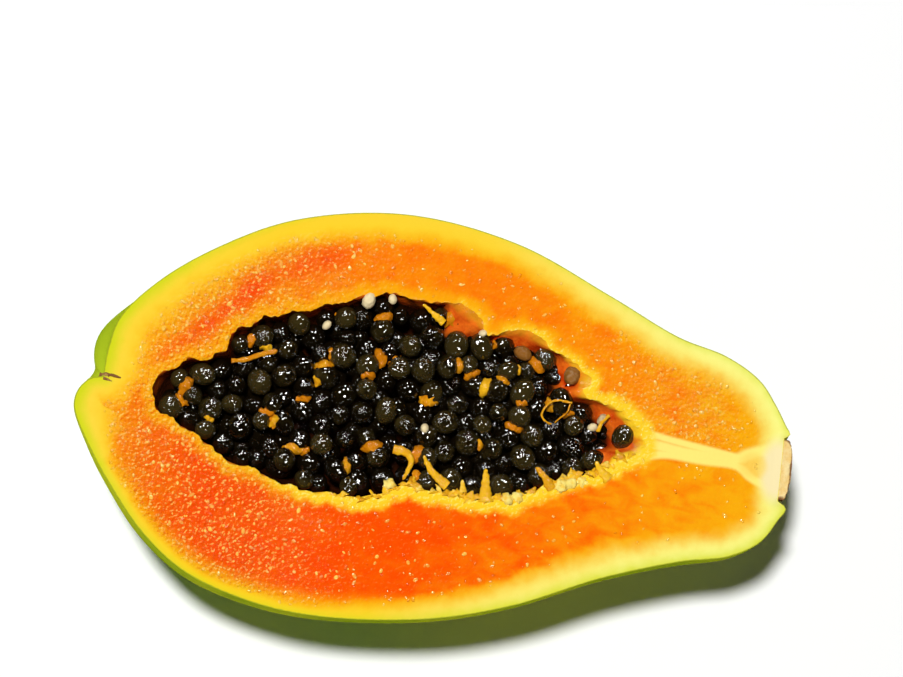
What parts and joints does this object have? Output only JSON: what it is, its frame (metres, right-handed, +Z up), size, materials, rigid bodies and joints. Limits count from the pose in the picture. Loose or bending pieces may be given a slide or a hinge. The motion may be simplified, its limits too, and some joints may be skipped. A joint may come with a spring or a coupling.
{
  "type": "papaya half",
  "caption": "Ripe papaya cut in half lengthwise, lying on its rounded back with the orange flesh and the black seeds in its cavity facing up.",
  "frame": {"origin": "centre of the bounding box in X and Y, at the flat resting spot's level", "axes": "+X along the fruit towards its stalk end, +Z up out of the cut face, +Y across the fruit"},
  "size_m": [0.1758, 0.1006, 0.0483],
  "materials": {
    "flesh": "satin",
    "seeds": "gloss",
    "stub": "matte"
  },
  "bodies": {
    "root": {"fruit_half": "flesh", "seed_cluster": "seeds", "stalk_stub": "stub"}
  },
  "joints": []
}
